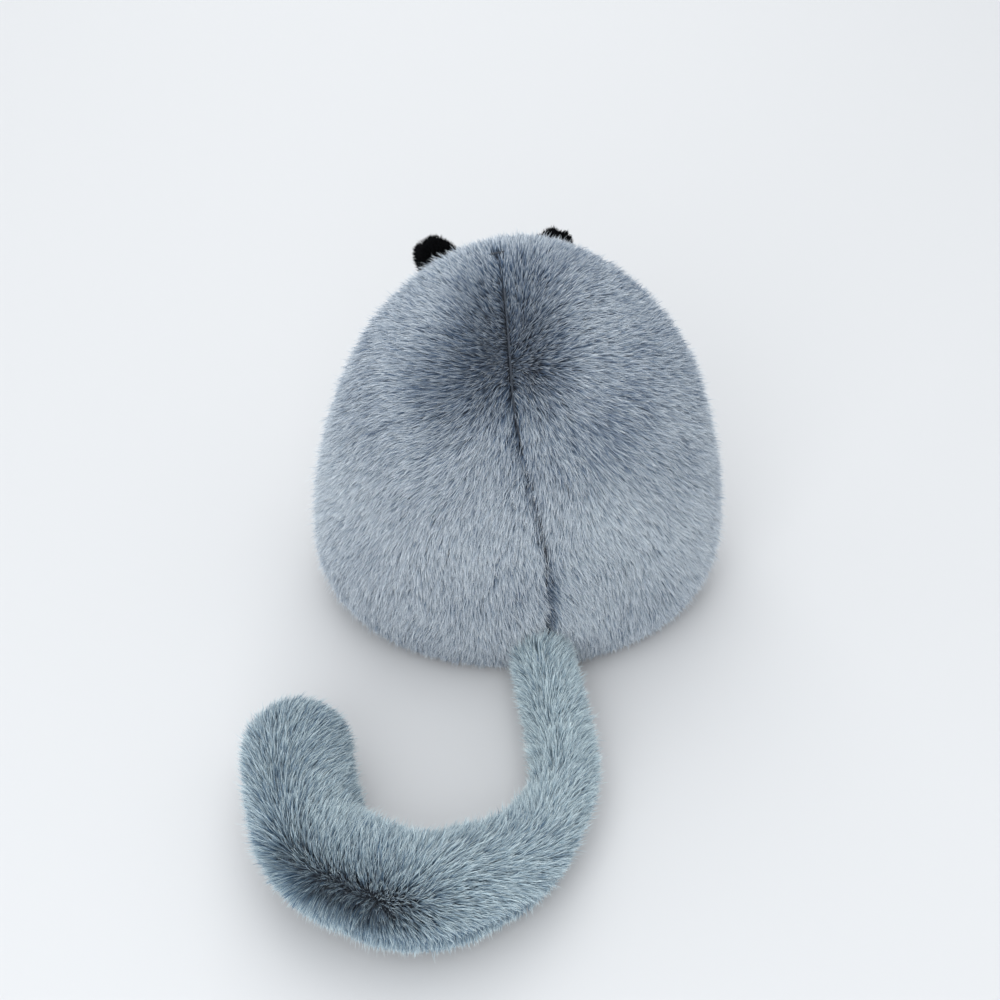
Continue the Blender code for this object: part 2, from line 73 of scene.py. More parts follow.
EAR_LEAN_BACK = math.radians(6)
EYE_SPACING = 0.062
EYE_HEIGHT = 0.100
EYE_RADIUS = 0.0065
EYE_BULGE = 0.0045
NOSE_HEIGHT = 0.086
NOSE_WIDTH = 0.013
NOSE_TALL = 0.009
NOSE_BULGE = 0.004
TAIL_START = 0.094
TAIL_START_SIDE = -0.0015
TAIL_HEADING = math.radians(93.4)
TAIL_LENGTHS = (0.044, 0.046, 0.044, 0.044, 0.044, 0.043)
TAIL_TURNS = tuple(math.radians(turn) for turn in (4, 30, 36, 55, 49, 10))
TAIL_ROOT_RADIUS = 0.0155
TAIL_END_RADIUS = 0.0235
TAIL_SWELL_FROM = 0.070
TAIL_SWELL_TO = 0.165
TAIL_WALL = 0.004
SOCKET_GAP = 0.0010
FLATTEN = BODY_DEPTH / BODY_WIDTH

# Backing: its depth under the design's surface, its thickness and its lowest height
BODY_BACKING_DEPTH = 0.0060
TAIL_BACKING_DEPTH = 0.0068
BACKING_THICKNESS = 0.0015
BACKING_BOTTOM = 0.004

# Pile: lengths and widths in metres, strand counts, and how each strand leans and tapers
PILE_LENGTH = 0.0098
TAIL_PILE_LENGTH = 0.0094
EAR_PILE_LENGTH = 0.0040
STRAND_WIDTH = 0.00036
FLOOR_CLEARANCE = 0.0006
BODY_BACK_STRANDS = 136000
BODY_FRONT_STRANDS = 66000
BACK_SPLIT_HEIGHT = 0.080
TAIL_STRANDS = 96000
EAR_STRANDS = 3600
UPRIGHT = 1.42
LEANS = (0.42, 0.74, 1.02)
EAR_UPRIGHT = 1.2
EAR_LEANS = (0.9, 1.15, 1.4)
FLY_SHARE = 0.13
FLY_WIDTH = 0.6
FLY_TINT = 0.80

# Nap: the whorl's side and height, the partings along the seams, and the tail's brushed way
WHORL = (0.007, 0.153)
WHORL_SIZE = 0.044
WHORL_STRETCH = 1.3
CROWN_PARTING = 0.88
SEAM_PARTING = 0.0028
SEAM_SINK = 0.0018
TAIL_NAP = (-0.66, -0.75, -0.46)
TAIL_SEAM_DROP = 0.0015
TAIL_SEAM_WIDTH = 0.0026
TAIL_ROOT = -0.004

# Studio: a paper floor that curves up into a wall, the lamps' surroundings and the camera
FLOOR_HALF_WIDTH = 6.0
FLOOR_FRONT = 2.5
FLOOR_BACK = -3.2
FLOOR_CURVE = 1.2
FLOOR_CURVE_STEPS = 12
FLOOR_TOP = 4.0
FLOOR_COLOR = (0.70, 0.71, 0.72)
SKY_COLOR = (0.93, 0.96, 1.0)
SKY_STRENGTH = 0.60
CAMERA_AZIMUTH = math.radians(7)
CAMERA_ELEVATION = math.radians(35)
CAMERA_DISTANCE = 0.72
CAMERA_TARGET = (0, 0, 0.08)
CAMERA_AIM_LEFT = 0.01216
CAMERA_AIM_DOWN = 0.0426
CAMERA_SENSOR = 36
CAMERA_LENS = 53.3


# ---------------------------------------------------------------- materials


def new_material(name):
    """A new material with its node tree and its shader."""
    made = bpy.data.materials.new(name)
    made.use_nodes = True
    return made, made.node_tree, made.node_tree.nodes["Principled BSDF"]


def ramp_node(tree, stops):
    """A colour ramp with (place, colour) stops."""
    node = tree.nodes.new("ShaderNodeValToRGB")
    elements = node.color_ramp.elements
    while len(elements) < len(stops):
        elements.new(0.5)
    for element, (place, color) in zip(elements, stops):
        element.position = place
        element.color = (*color, 1)
    return node


def pile_material(name, dark_stops, light_stops, roughness, specular, sheen):
    """A pile whose colour runs from root to tip along V and from dark to light hairs along U; U also
    carries painted shade where the tints hold it.
    """
    made, tree, shader = new_material(name)
    where = tree.nodes.new("ShaderNodeUVMap")
    where.uv_map = "OFBake"
    split = tree.nodes.new("ShaderNodeSeparateXYZ")
    tree.links.new(where.outputs["UV"], split.inputs["Vector"])
    dark = ramp_node(tree, dark_stops)
    light = ramp_node(tree, light_stops)
    mix = tree.nodes.new("ShaderNodeMix")
    mix.data_type = "RGBA"
    tree.links.new(split.outputs["Y"], dark.inputs["Fac"])
    tree.links.new(split.outputs["Y"], light.inputs["Fac"])
    tree.links.new(split.outputs["X"], mix.inputs["Factor"])
    tree.links.new(dark.outputs["Color"], mix.inputs["A"])
    tree.links.new(light.outputs["Color"], mix.inputs["B"])
    tree.links.new(mix.outputs["Result"], shader.inputs["Base Color"])
    shader.inputs["Roughness"].default_value = roughness
    shader.inputs["Specular IOR Level"].default_value = specular
    shader.inputs["Sheen Weight"].default_value = sheen
    shader.inputs["Sheen Roughness"].default_value = 0.5
    return made


def mottled_material(name, low, high, scale, roughness):
    """A plain material with a soft procedural mottle."""
    made, tree, shader = new_material(name)
    where = tree.nodes.new("ShaderNodeTexCoord")
    noise = tree.nodes.new("ShaderNodeTexNoise")
    noise.inputs["Scale"].default_value = scale
    noise.inputs["Detail"].default_value = 3.0
    ramp = ramp_node(tree, ((0.3, low), (0.7, high)))
    tree.links.new(where.outputs["Object"], noise.inputs["Vector"])
    tree.links.new(noise.outputs["Fac"], ramp.inputs["Fac"])
    tree.links.new(ramp.outputs["Color"], shader.inputs["Base Color"])
    shader.inputs["Roughness"].default_value = roughness
    return made


# ---------------------------------------------------------------- body shape


def egg_radius(height, inset=0.0):
    """Half the body's width at each height, with its surface set in by inset."""
    height = np.asarray(height, float)
    widest = BODY_WIDTH / 2 - inset
    low = BASE_WIDTH / 2 - inset
    share = np.clip((WIDEST_HEIGHT - height) / WIDEST_HEIGHT, 0, 1)
    below = widest - (widest - low) * share**2.5
    top = BODY_HEIGHT - inset
    share = np.clip((height - WIDEST_HEIGHT) / (top - WIDEST_HEIGHT), 0, 1)
    above = widest * (1 - share**CROWN_ROUNDNESS) ** (1 / SHOULDER_ROUNDNESS)
    return np.where(height < WIDEST_HEIGHT, below, above)


def body_point(turn, rise, inset):
    """Points of the body's surface: turn 0 to 1 goes once round, rise 0 to 1 from foot to crown."""
    top = BODY_HEIGHT - inset
    height = BACKING_BOTTOM + (top - BACKING_BOTTOM) * np.sin(rise * math.pi / 2)
    radius = egg_radius(height, inset)
    angle = turn * 2 * math.pi
    return np.stack([radius * np.cos(angle), FLATTEN * radius * np.sin(angle), height], -1)


def seam_side(height):
    """How far to the cat's left the back seam runs at each height."""
    share = (np.asarray(height, float) - SEAM_BOW_FROM) / (SEAM_BOW_TO - SEAM_BOW_FROM)
    share = np.clip(share, 0, 1)
    return SEAM_AT_BASE + (SEAM_BOW - SEAM_AT_BASE) * share * share * (3 - 2 * share)


def crown_height(x, y):
    """The height of the body's upper surface over a point."""
    reach = math.hypot(x, y / FLATTEN)
    low, high = WIDEST_HEIGHT, BODY_HEIGHT
    for _ in range(40):
        middle = (low + high) / 2
        if egg_radius(middle) > reach:
            low = middle
        else:
            high = middle
    return low


def front_place(x, height, lift=0.0):
    """A frame on the face side: its origin lift metres out, Z outward, X level."""

    def on_surface(px, pz):
        """The point of the face side at this distance sideways and this height."""
        radius = float(egg_radius(pz))
        return Vector((px, -FLATTEN * math.sqrt(max(radius**2 - px**2, 0)), pz))

    step = 0.001
    across = on_surface(x + step, height) - on_surface(x - step, height)
    upward = on_surface(x, height + step) - on_surface(x, height - step)
    out = across.cross(upward).normalized()
    if out.y > 0:
        out = -out
    level = Vector((0, 0, 1)).cross(out).normalized()
    axes = Matrix((level, out.cross(level), out)).transposed().to_4x4()
    return Matrix.Translation(on_surface(x, height) + lift * out) @ axes


# ---------------------------------------------------------------- tail shape

TAIL_ENDS = np.cumsum((0.0,) + TAIL_LENGTHS)
TAIL_LENGTH = float(TAIL_ENDS[-1])
TAIL_LAST = len(TAIL_LENGTHS)


def tail_radius(s):
    """Half the tail's thickness, s metres along it."""
    share = (np.asarray(s, float) - TAIL_SWELL_FROM) / (TAIL_SWELL_TO - TAIL_SWELL_FROM)
    share = np.clip(share, 0, 1)
    return TAIL_ROOT_RADIUS + (TAIL_END_RADIUS - TAIL_ROOT_RADIUS) * share * share * (3 - 2 * share)


def socket_seat(start):
    """How far past a joint a stretch's socket ends, and its arc starts."""
    socket = float(tail_radius(start)) + SOCKET_GAP
    rim = float(tail_radius(start + socket * 0.7)) - TAIL_WALL - SOCKET_GAP
    return math.sqrt(socket**2 - rim**2)


def tail_frame(s):
    """The tail's centre, the way along it and its right-hand side, for each s metres along it."""
    s = np.asarray(s, float)
    heading = np.full_like(s, TAIL_HEADING)
    x = np.full_like(s, TAIL_START_SIDE)
    y = np.full_like(s, TAIL_START)
    start = 0.0
    for length, turn in zip(TAIL_LENGTHS, TAIL_TURNS):
        run = socket_seat(start) if start else 0.0
        here = np.minimum(s - start, length)
        here = here if start == 0 else np.maximum(here, 0)
        straight = np.minimum(here, run)
        x = x + straight * np.cos(heading)
        y = y + straight * np.sin(heading)
        radius = (length - run) / turn
        swing = np.maximum(here - run, 0) / radius
        x = x + radius * (np.sin(heading) - np.sin(heading - swing))
        y = y + radius * (np.cos(heading - swing) - np.cos(heading))
        heading = heading - swing
        start += length
    flat = np.zeros_like(x)
    centre = np.stack([x, y, tail_radius(s) + SEAM_HALF_GAP], -1)
    along = np.stack([np.cos(heading), np.sin(heading), flat], -1)
    right = np.stack([np.sin(heading), -np.cos(heading), flat], -1)
    return centre, along, right


def tail_point(s, angle, inset):
    """Points of the tail's surface; past the last joint's stretch they round off the tip."""
    s = np.asarray(s, float)
    end = np.minimum(s, TAIL_LENGTH)
    centre, along, right = tail_frame(end)
    radius = tail_radius(end) - inset
    lean = np.clip((s - TAIL_LENGTH) / tail_radius(TAIL_LENGTH), 0, 1) * math.pi / 2
    up = np.array([0, 0, 1.0])
    around = np.cos(angle)[..., None] * right + np.sin(angle)[..., None] * up
    ring = (radius * np.cos(lean))[..., None] * around
    return centre + ring + (radius * np.sin(lean))[..., None] * along


# ---------------------------------------------------------------- meshes


def add_mesh(name, points, faces, look):
    """A closed body from points and faces, with its faces turned outward."""
    data = bpy.data.meshes.new(name)
    data.from_pydata([tuple(p) for p in points], [], faces)
    work = bmesh.new()
    work.from_mesh(data)
    bmesh.ops.remove_doubles(work, verts=work.verts, dist=1e-6)
    bmesh.ops.recalc_face_normals(work, faces=work.faces)
    work.to_mesh(data)
    work.free()
    data.materials.append(look)
    data.polygons.foreach_set("use_smooth", [True] * len(data.polygons))
    made = bpy.data.objects.new(name, data)
    bpy.context.scene.collection.objects.link(made)
    return made


def grid_solid(name, outer, inner, look):
    """A closed body between two grids of points with the same rows and columns."""
    rows, columns = len(outer), len(outer[0])
    points = [p for row in outer for p in row] + [p for row in inner for p in row]
    far = rows * columns
    faces = []
    for i in range(rows - 1):
        for j in range(columns - 1):
            a = i * columns + j
            quad = [a, a + columns, a + columns + 1, a + 1]
            faces.append(quad)
            faces.append([far + k for k in reversed(quad)])
    rim = [i * columns for i in range(rows)]
    rim += [(rows - 1) * columns + j for j in range(1, columns)]
    rim += [i * columns + columns - 1 for i in range(rows - 2, -1, -1)]
    rim += list(range(columns - 2, 0, -1))
    for a, b in zip(rim, rim[1:] + rim[:1]):
        faces.append([a, b, far + b, far + a])
    return add_mesh(name, points, faces, look)


def turned(name, rings, look):
    """A closed body from rings of points; a ring of one point is a pole."""
    points, starts, faces = [], [], []
    for ring in rings:
        starts.append(len(points))
        points.extend(ring)
    for k in range(len(rings) - 1):
        a, b = rings[k], rings[k + 1]
        for j in range(max(len(a), len(b))):
            n = j + 1
            corners = [starts[k] + j % len(a), starts[k] + n % len(a)]
            corners += [starts[k + 1] + n % len(b), starts[k + 1] + j % len(b)]
            faces.append(list(dict.fromkeys(corners)))
    for k in (0, -1):
        if len(rings[k]) > 1:
            faces.append([starts[k] + j for j in range(len(rings[k]))])
    return add_mesh(name, points, faces, look)


# ---------------------------------------------------------------- pile


def unit(vectors):
    """Each vector at length 1."""
    return vectors / np.maximum(np.linalg.norm(vectors, axis=-1, keepdims=True), 1e-12)


def onto(vectors, normals):
    """The part of each vector that lies in the surface."""
    return vectors - (vectors * normals).sum(-1, keepdims=True) * normals


def scatter(surface, ranges, count, random, weight=None):
    """Even random roots over a surface given by two numbers: their places and the normals there."""
    (low_a, high_a), (low_b, high_b) = ranges
    cells = 240
    a = np.linspace(low_a, high_a, cells + 1)
    b = np.linspace(low_b, high_b, cells + 1)
    grid = surface(*np.meshgrid(a, b, indexing="ij"))
    side = grid[1:, :-1] - grid[:-1, :-1]
    up = grid[:-1, 1:] - grid[:-1, :-1]
    area = np.linalg.norm(np.cross(side, up), axis=-1)
    if weight is not None:
        area = area * weight((grid[1:, 1:] + grid[:-1, :-1]) / 2)
    chance = (area / area.sum()).ravel()
    picked = random.choice(cells * cells, count, p=chance)
    pa = a[picked // cells] + random.random(count) * (a[1] - a[0])
    pb = b[picked % cells] + random.random(count) * (b[1] - b[0])
    roots = surface(pa, pb)
    step = 1e-3
    step_a, step_b = step * (high_a - low_a), step * (high_b - low_b)
    da = surface(pa + step_a, pb) - surface(pa - step_a, pb)
    db = surface(pa, np.minimum(pb + step_b, high_b)) - surface(pa, pb - step_b)
    return roots, unit(np.cross(da, db)), pa, pb


def wander(points, size, seed, count=5):
    """A smooth random number, about -1 to 1, at each point, over patches of about size metres."""
    random = np.random.default_rng(seed)
    total = np.zeros(len(points))
    for _ in range(count):
        way = unit(random.normal(size=3)) * (2 * math.pi / (size * random.uniform(1.4, 3.2)))
        total += np.sin(points @ way + random.uniform(0, 2 * math.pi))
    return total / math.sqrt(count / 2) / 1.5


def clump_ids(points, size, seed):
    """The number of the nearest of the clump centres scattered one per cell of a grid."""
    random = np.random.default_rng(seed)
    table = random.random((64, 64, 64, 3))
    base = np.floor(points / size).astype(int)
    best = np.full(len(points), np.inf)
    found = np.zeros((len(points), 3), int)
    for dx in (-1, 0, 1):
        for dy in (-1, 0, 1):
            for dz in (-1, 0, 1):
                cell = base + (dx, dy, dz)
                spot = (cell + table[tuple((cell % 64).T)]) * size
                far = ((points - spot) ** 2).sum(-1)
                nearer = far < best
                best[nearer] = far[nearer]
                found[nearer] = cell[nearer]
    _, ids = np.unique(found, axis=0, return_inverse=True)
    return ids.ravel()


def clump_mean(ids, values):
    """For each row, the mean of the rows in the same clump."""
    count = np.bincount(ids)
    return np.stack([np.bincount(ids, values[:, k]) / count for k in range(3)], -1)[ids]


def grow(roots, normals, nap, length, lifts, random, clump=(0.0021, 0.30), spread=0.42, seed=1):
    """Strand points, four per strand: nap is the way each lies, lifts its angles off the surface.

    clump is the size of the tufts in metres and how strongly the tips draw together in them.
    """
    count = len(roots)
    size, strength = clump
    across = np.cross(normals, nap)
    swing = random.normal(size=count) * spread
    way = nap * np.cos(swing)[:, None] + across * np.sin(swing)[:, None]
    lines = np.zeros((count, 4, 3))
    lines[:, 0] = roots
    tilt = random.normal(size=count) * 0.20
    for k, lift in enumerate(lifts):
        angle = np.clip(lift + tilt, 0.02, 1.5)
        step = way * np.cos(angle)[:, None] + normals * np.sin(angle)[:, None]
        lines[:, k + 1] = lines[:, k] + step * (length / 3)[:, None]
    for number, (wide, strong) in enumerate(((size, strength), (size * 2.8, strength * 0.5))):
        ids = clump_ids(roots, wide, seed * 7 + number)
        pull = clump_mean(ids, lines[:, 3]) - lines[:, 3]
        keep = strong * (0.6 + 0.8 * random.random(count))
        for k, share in ((1, 0.10), (2, 0.45), (3, 1.0)):
            lines[:, k] += pull * (share * keep)[:, None]
    return lines


def strand_lifts(calm, fly, fly_lift):
    """The angles off the surface of each strand's three steps; fly hairs stand up more."""
    return [UPRIGHT - lean * calm + np.where(fly, fly_lift, 0.0) for lean in LEANS]


def strand_widths(fly, random):
    """The width of each strand at its root; fly hairs are thinner."""
    return np.where(fly, FLY_WIDTH, 1.0) * STRAND_WIDTH * (0.8 + 0.4 * random.random(len(fly)))


def strand_mesh(name, lines, normals, width, tints, look, random):
    """One mesh of flat tapering strands; U holds each strand's tint and V runs from root to tip."""
    count = len(lines)
    lines = lines.copy()
    floor = FLOOR_CLEARANCE + 0.0012 * random.random(count)
    drop = lines[:, 0, 2] - lines[:, 3, 2]
    room = np.maximum(lines[:, 0, 2] - floor, 0.0)
    share = np.where(drop > room, room / np.maximum(drop, 1e-6), 1.0)
    lines = lines[:, :1] + (lines - lines[:, :1]) * np.maximum(share, 0.35)[:, None, None]
    lines[..., 2] = np.maximum(lines[..., 2], floor[:, None])
    way = unit(lines[:, 3] - lines[:, 0] + 1e-9)
    flat = unit(np.cross(way, normals) + 1e-9)
    edge = np.cross(way, flat)
    roll = random.uniform(-0.95, 0.95, count)
    side = flat * np.cos(roll)[:, None] + edge * np.sin(roll)[:, None]
    points = np.zeros((count, 7, 3))
    for k, share in ((0, 0.9), (1, 1.0), (2, 0.72)):
        half = side * (width * share / 2)[:, None]
        points[:, 2 * k] = lines[:, k] - half
        points[:, 2 * k + 1] = lines[:, k] + half
    points[:, 6] = lines[:, 3]
    points[..., 2] = np.maximum(points[..., 2], FLOOR_CLEARANCE)
    pattern = np.array([0, 1, 3, 2, 2, 3, 5, 4, 4, 5, 6])
    along = np.array([0, 0, 1, 1, 1, 1, 2, 2, 2, 2, 3]) / 3
    lean = np.array([0, 1, 1, 0, 0, 1, 1, 0, 0, 1, 0.5])
    corners = (np.arange(count)[:, None] * 7 + pattern).ravel()
    data = bpy.data.meshes.new(name)
    data.vertices.add(count * 7)
    data.vertices.foreach_set("co", points.ravel())
    data.loops.add(count * 11)
    data.loops.foreach_set("vertex_index", corners)
    data.polygons.add(count * 3)
    starts = (np.arange(count)[:, None] * 11 + np.array([0, 4, 8])).ravel()
    data.polygons.foreach_set("loop_start", starts)
    data.update(calc_edges=True)
    layer = data.uv_layers.new(name="OFBake")
    u = np.clip(tints, 0.01, 0.97)[:, None] + 0.02 * lean
    v = 0.01 + 0.98 * np.broadcast_to(along, (count, 11))
    layer.data.foreach_set("uv", np.stack([u, v], -1).ravel())
    data.polygons.foreach_set("use_smooth", [True] * (count * 3))
    data.materials.append(look)
    data.validate()
    made = bpy.data.objects.new(name, data)
    bpy.context.scene.collection.objects.link(made)
    return made


# ---------------------------------------------------------------- body


def seam_push(points):
    """How close each point is to the back seam, from 0 to 1, and on which side."""
    off = points[:, 0] - seam_side(points[:, 2])
    near = np.exp(-((off / SEAM_PARTING) ** 2)) * (points[:, 1] > 0)
    return near, np.sign(off)


def body_nap(roots, normals):
    """The way the body's pile lies: out of a whorl on the upper back, then down."""
    x, z = WHORL
    height = np.where(roots[:, 2] > z, z + CROWN_PARTING * (roots[:, 2] - z), z)
    behind = FLATTEN * np.sqrt(np.maximum(egg_radius(height) ** 2 - x**2, 0))
    source = np.stack([np.full_like(height, x), behind, height], -1)
    away = onto(roots - source, normals)
    reach = np.linalg.norm(away * (1 / WHORL_STRETCH, 1, 1), axis=1, keepdims=True)
    away = away / np.maximum(reach, WHORL_SIZE)
    down = onto(np.array([[0, 0, -1.0]]), normals)
    front = np.clip(-roots[:, 1:2] / 0.05, 0, 1)
    low = np.clip((z - roots[:, 2:3]) / 0.08, 0, 1)
    nap = away + down * (0.12 + 0.65 * low + 0.9 * front)
    near, side = seam_push(roots)
    nap = nap + onto(np.array([[1.0, 0, 0]]), normals) * (side * near * 0.7)[:, None]
    turn = 0.35 * wander(roots, 0.030, 11) + 0.15 * wander(roots, 0.012, 12)
    across = np.cross(normals, nap)
    return nap * np.cos(turn)[:, None] + across * np.sin(turn)[:, None]


def face_clear(points):
    """From 0 on the eyes, nose and mouth to 1 well away from them."""
    room = np.ones(len(points))
    eyes = [front_place(side * EYE_SPACING / 2, EYE_HEIGHT) for side in (1, -1)]
    muzzle = front_place(0, NOSE_HEIGHT - 0.004)
    sizes = (EYE_RADIUS, EYE_RADIUS, NOSE_WIDTH / 2 + 0.002)
    for place, size in zip((*eyes, muzzle), sizes):
        spot = place.translation
        far = np.linalg.norm(points - np.array(spot), axis=1)
        room = np.minimum(room, np.clip((far - size) / 0.016, 0, 1))
    return room


def body_pile(look, random):
    """The body's pile: the front in a left and a right piece, the back in two pairs of them."""

    def surface(turn, rise):
        """The backing's surface."""
        return body_point(turn, rise, BODY_BACKING_DEPTH)

    for half, count in (("back", BODY_BACK_STRANDS), ("front", BODY_FRONT_STRANDS)):
        turns = (0.0, 0.5) if half == "back" else (0.5, 1.0)
        roots, normals, _, _ = scatter(surface, (turns, (0.0, 1.0)), count, random)
        near, _ = seam_push(roots)
        parting = near * (1 + 1.2 * np.clip(1 - roots[:, 2] / 0.100, 0, 1))
        roots = roots - normals * (parting * SEAM_SINK)[:, None]
        nap = body_nap(roots, normals)
        strength = np.linalg.norm(nap, axis=1)
        nap = unit(nap)
        face = face_clear(roots)
        length = PILE_LENGTH * (1 + 0.16 * random.normal(size=count)) * (1 - 0.25 * parting)
        length = np.clip(length, 0.004, 0.017) * (0.30 + 0.70 * face)
        length *= 0.62 + 0.38 * np.clip(roots[:, 2] / 0.028, 0, 1)
        length *= 1 - 0.38 * np.clip((roots[:, 2] - 0.145) / 0.030, 0, 1)
        calm = np.clip(strength * (1 + 0.35 * wander(roots, 0.026, 23)), 0.0, 1)
        fly = random.random(count) < FLY_SHARE
        length = np.where(fly, length * 1.32, length)
        lifts = strand_lifts(calm * (0.5 + 0.5 * face), fly, 0.24)
        patch = 0.5 * wander(roots, 0.045, 21) + 0.5 * wander(roots, 0.018, 22)
        # Painted shade: pile in the lowest 32 mm of the body is darkened, where it turns under into
        # shade.
        low = 1 - np.clip(roots[:, 2] / 0.032, 0, 1)
        # Painted shade: a darker band across the shoulders around 138 mm up, heavier on the cat's
        # right.
        shoulder_shade = np.exp(-(((roots[:, 2] - 0.138) / 0.034) ** 2))
        shoulder_shade = shoulder_shade * (1 + 0.8 * np.clip(-roots[:, 0] / 0.05, 0, 1))
        tints = 0.80 + 0.14 * patch + 0.30 * random.normal(size=count) - 0.32 * parting
        # Painted shade: pile that stands up round the whorl (low calm) is darkened, as are the
        # bottom and shoulder bands.
        tints -= 0.42 * (1 - calm) + 0.34 * low + 0.28 * shoulder_shade
        tints = np.where(fly, np.maximum(tints, FLY_TINT), tints)
        lines = grow(roots, normals, nap, length, lifts, random, seed=31)
        width = strand_widths(fly, random)
        left = roots[:, 0] > (seam_side(roots[:, 2]) if half == "back" else 0.0)
        upper = roots[:, 2] > (BACK_SPLIT_HEIGHT if half == "back" else 0.0)
        for side, on_side in (("left", left), ("right", ~left)):
            for level, at_level in (("upper", upper), ("lower", ~upper)):
                chosen = on_side & at_level
                if not chosen.any():
                    continue
                part = f"{side}_{level}" if half == "back" else side
                name = f"{half}_{part}_pile"
                made = strand_mesh(
                    name, lines[chosen], normals[chosen], width[chosen], tints[chosen], look, random
                )
                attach(made, "body")


def body_backing(look):
    """The woven backing under the pile, one padded shell for each sewn panel."""
    rises = np.linspace(0.0, 1.0, 40)
    for name, low, high in (
        ("back_panel_left", 0.0, 0.25), ("back_panel_right", 0.25, 0.5), ("front_panel", 0.5, 1.0)
    ):
        turns = np.linspace(low, high, 49 if name == "front_panel" else 33)
        grids = []
        for depth in (BODY_BACKING_DEPTH, BODY_BACKING_DEPTH + BACKING_THICKNESS):
            rows = []
            for rise in rises:
                row = body_point(turns, np.full_like(turns, rise), depth)
                if name != "front_panel":
                    fade = 1 - np.abs(turns - 0.25) / 0.25
                    row[:, 0] += seam_side(row[:, 2]) * np.clip(fade, 0, 1) ** 2
                    near, _ = seam_push(row)
                    row -= unit(row * (1, 1 / FLATTEN, 0.2)) * (near * 0.0030)[:, None]
                rows.append(row)
            grids.append(rows)
        shell = grid_solid(f"{name}_backing", grids[0], grids[1], look)
        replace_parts(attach(shell, "body"), name)


# ---------------------------------------------------------------- tail


def tail_nap(roots, normals, low_half, outward):
    """The way the tail's pile lies: one direction all over its top, down and out underneath."""
    top = onto(np.array([TAIL_NAP]), normals)
    under = onto(outward * 0.3 + np.array([[0.1, 0.05, -0.8]]), normals)
    nap = np.where(low_half[:, None], under, top)
    turn = 0.30 * wander(roots, 0.025, 41) + 0.12 * wander(roots, 0.010, 42)
    across = np.cross(normals, nap)
    return nap * np.cos(turn)[:, None] + across * np.sin(turn)[:, None]


def tail_blend(piece):
    """Bakes a piece's placement into its points."""
    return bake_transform(piece)


def tail_stretches():
    """(number of the joint, start, end) of each piece of the tail, cut midway between joints."""
    middles = [(a + b) / 2 for a, b in zip(TAIL_ENDS[:-1], TAIL_ENDS[1:])]
    tip = TAIL_LENGTH + float(tail_radius(TAIL_LENGTH))
    stretches = [(0, TAIL_ROOT, middles[0])]
    stretches += [(k, middles[k - 1], middles[k]) for k in range(1, TAIL_LAST)]
    return stretches + [(TAIL_LAST, middles[-1], tip)]


def tail_parts(pile_look, backing_look, random):
    """The tail's pile and its backing, each in stretches cut midway between joints."""
    tip = TAIL_LENGTH + float(tail_radius(TAIL_LENGTH))

    def surface(s, turn):
        """The backing's surface."""
        return tail_point(s, turn * 2 * math.pi, TAIL_BACKING_DEPTH)

    def fewer_under(points):
        """The share of strands that grow at each point: few where the tail lies on the floor."""
        return np.where(points[..., 2] < 0.006, 0.35, 1.0)

    ranges = ((TAIL_ROOT, tip - 1e-4), (0.0, 1.0))
    roots, normals, s, _ = scatter(surface, ranges, TAIL_STRANDS, random, fewer_under)
    centre, _, right = tail_frame(np.minimum(s, TAIL_LENGTH))
    normals = np.where(((roots - centre) * normals).sum(-1, keepdims=True) < 0, -normals, normals)
    level = unit(normals * (1, 1, 0) + 1e-9)
    above = roots[:, 2] - centre[:, 2] + TAIL_SEAM_DROP
    outside = (level * -right).sum(-1) > -0.4
    low_half = (above < 0) & outside
    seam = np.exp(-((above / TAIL_SEAM_WIDTH) ** 2)) * outside
    nap = tail_nap(roots, normals, low_half, level)
    strength = np.linalg.norm(nap, axis=1)
    calm = np.clip(strength, 0.0, 1)
    nap = nap / np.maximum(strength, 0.15)[:, None]
    length = TAIL_PILE_LENGTH * np.clip(1 + 0.16 * random.normal(size=TAIL_STRANDS), 0.5, 1.4)
    length *= np.where(low_half, 0.72, 1.0) * (1 - 0.55 * seam)
    fly = random.random(TAIL_STRANDS) < FLY_SHARE
    length = np.where(fly, length * 1.3, length)
    lifts = strand_lifts(calm, fly, 0.20)
    patch = 0.5 * wander(roots, 0.040, 51) + 0.5 * wander(roots, 0.016, 52)
    tints = 0.62 + 0.14 * patch + 0.30 * random.normal(size=TAIL_STRANDS)
    # Painted shade: the lower half of the tail's outer side (low_half) is darkened.
    tints = tints - 0.52 * seam - 0.14 * low_half
    tints += 0.22 * np.exp(-(((s - 0.085) / 0.035) ** 2)) - 0.14 * np.clip((s - 0.14) / 0.05, 0, 1)
    # Painted shade: pile that stands up where the tail's brushed way meets the surface head-on is
    # darkened.
    tints = tints - 0.45 * (1 - np.clip(strength / 0.5, 0, 1))
    tints = np.where(fly, np.maximum(tints, FLY_TINT), tints)
    lines = grow(roots, normals, nap, length, lifts, random, seed=61)
    width = strand_widths(fly, random)
    for number, start, end in tail_stretches():
        chosen = (s >= start) & (s < end)
        made = strand_mesh(
            f"tail_pile_{number}", lines[chosen], normals[chosen], width[chosen], tints[chosen],
            pile_look, random,
        )
        backing = tail_backing(number, start, end, backing_look)
        for piece in (made, backing):
            if number == TAIL_LAST:
                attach(piece, "tail_6")
            else:
                tail_blend(piece)


def tail_backing(number, start, end, look):
    """A closed stretch of the tail's backing over its stuffing."""
    stations = np.linspace(start, end, 16)
    if number == TAIL_LAST:
        bend = np.sin(np.linspace(0, math.pi / 2, 10)) ** 0.9
        rounding = TAIL_LENGTH + (end - TAIL_LENGTH) * bend[1:]
        stations = np.concatenate([np.linspace(start, TAIL_LENGTH, 8), rounding])
    sides = 48
    turns = np.arange(sides) / sides * 2 * math.pi
    rings = [list(tail_point(np.full(sides, s), turns, TAIL_BACKING_DEPTH)) for s in stations]
    if number == TAIL_LAST:
        rings[-1] = [rings[-1][0]]
    made = turned(f"tail_backing_{number}", rings, look)
    if number:
        kinds = ("upper", "lower", "stuffing")
        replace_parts(made, *[f"tail_{number}_{kind}" for kind in kinds])
    return made


# ---------------------------------------------------------------- ears


